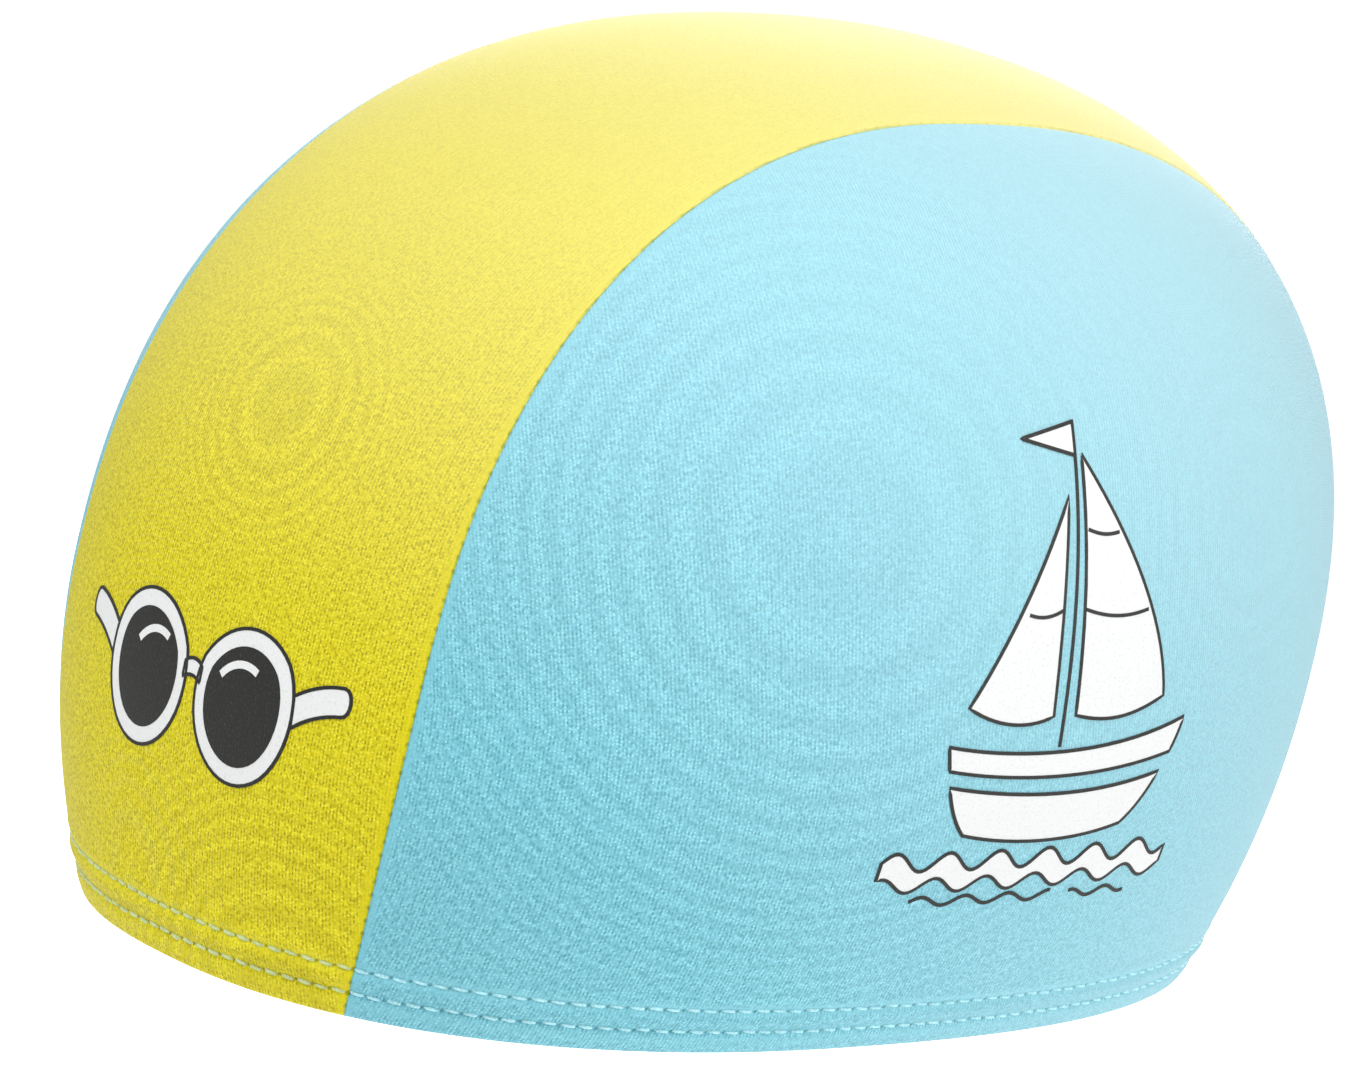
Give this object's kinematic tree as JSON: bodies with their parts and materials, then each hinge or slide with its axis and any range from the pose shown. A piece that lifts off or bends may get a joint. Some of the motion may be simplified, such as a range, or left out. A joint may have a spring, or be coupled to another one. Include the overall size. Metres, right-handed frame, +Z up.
{
  "type": "swim cap",
  "caption": "Stretch-knit swim cap with a yellow strip from front to back, blue side panels and a stitched turned-up hem, shown filled out as worn.",
  "frame": {"origin": "middle of the head opening, in the plane of the hem's fold", "axes": "+Z up through the top of the cap, -Y towards its front, +X towards the wearer's left"},
  "size_m": [0.156, 0.1871, 0.135],
  "materials": {
    "yellow_knit": "matte",
    "blue_knit": "matte",
    "hem_thread": "satin",
    "print_white": "satin",
    "print_dark": "satin"
  },
  "bodies": {
    "root": {"centre_panel": "yellow_knit", "side_panel_left": "blue_knit", "side_panel_right": "blue_knit"}
  },
  "joints": []
}
